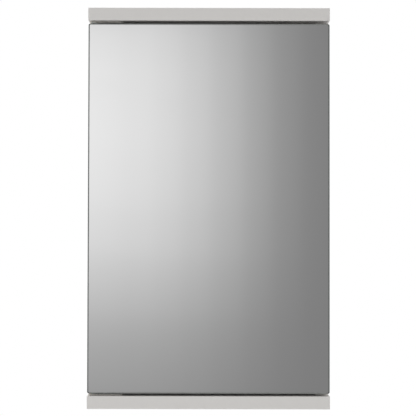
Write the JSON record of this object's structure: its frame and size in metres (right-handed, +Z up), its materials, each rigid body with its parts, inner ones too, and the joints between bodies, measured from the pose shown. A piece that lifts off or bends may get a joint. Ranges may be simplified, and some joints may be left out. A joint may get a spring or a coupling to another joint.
{
  "type": "medicine cabinet with mirror",
  "caption": "Slim wall cabinet with a full-height mirrored door between two plain slabs, pin hinged at the left, with glass shelves and a magnetic push latch inside.",
  "frame": {"origin": "middle of the cabinet's footprint, on the underside of the bottom slab", "axes": "+Z up, -Y out of the mirror towards the viewer, +Y to the wall, +X to the viewer's right"},
  "size_m": [0.302, 0.13, 0.5],
  "materials": {
    "foil_board": "satin",
    "door_board": "satin",
    "edge_banding": "satin",
    "back_board": "satin",
    "shelf_glass": "polished",
    "nickel_plate": "satin",
    "plated_steel": "satin",
    "spring_steel": "satin",
    "zinc_casting": "matte",
    "magnet_nickel": "polished",
    "white_plastic": "satin",
    "latch_plastic": "satin",
    "nylon": "matte",
    "beech": "matte",
    "mirror": "polished",
    "backing_film": "matte",
    "foam_tape": "matte",
    "clear_rubber": "satin"
  },
  "bodies": {
    "cabinet": {"top_panel": "foil_board", "bottom_panel": "foil_board", "left_side_panel": "foil_board", "right_side_panel": "foil_board", "hanging_rail": "foil_board", "top_panel_edging": "edge_banding", "bottom_panel_edging": "edge_banding", "side_panel_edging": "edge_banding", "back_panel": "back_board", "lower_shelf": "shelf_glass", "upper_shelf": "shelf_glass", "shelf_pegs": "nickel_plate", "shelf_pads": "clear_rubber", "cam_locks": "zinc_casting", "cam_covers": "white_plastic", "cam_bolts": "plated_steel", "wood_dowels": "beech", "upper_hinge_slab_plate": "nickel_plate", "lower_hinge_slab_plate": "nickel_plate", "upper_hinge_bush": "nylon", "lower_hinge_bush": "nylon", "hinge_slab_screws": "plated_steel", "latch_housing": "latch_plastic", "latch_spring": "spring_steel", "latch_screws": "plated_steel"},
    "door": {"door_panel": "door_board", "door_edging": "edge_banding", "mirror_glass": "mirror", "mirror_backing_film": "backing_film", "mirror_tape_strips": "foam_tape", "upper_hinge_door_plate": "nickel_plate", "lower_hinge_door_plate": "nickel_plate", "upper_hinge_pin": "plated_steel", "lower_hinge_pin": "plated_steel", "hinge_door_screws": "plated_steel", "latch_strike_plate": "nickel_plate", "strike_plate_screw": "plated_steel", "door_bumpers": "clear_rubber"},
    "plunger": {"latch_plunger": "latch_plastic", "plunger_magnet": "magnet_nickel"}
  },
  "joints": [
    {"name": "door_hinge", "type": "hinge", "parent": "cabinet", "child": "door", "pos_m": [-0.1452, -0.053, 0.25], "axis": [0, 0, -1], "range_deg": [0, 110]},
    {"name": "latch_slide", "type": "slide", "parent": "cabinet", "child": "plunger", "axis": [0, -1, 0], "range_m": [0, 0.008]}
  ],
  "couplings": [
    {"joint": "latch_slide", "follows": "door_hinge", "m_per_rad": 0.004166}
  ]
}
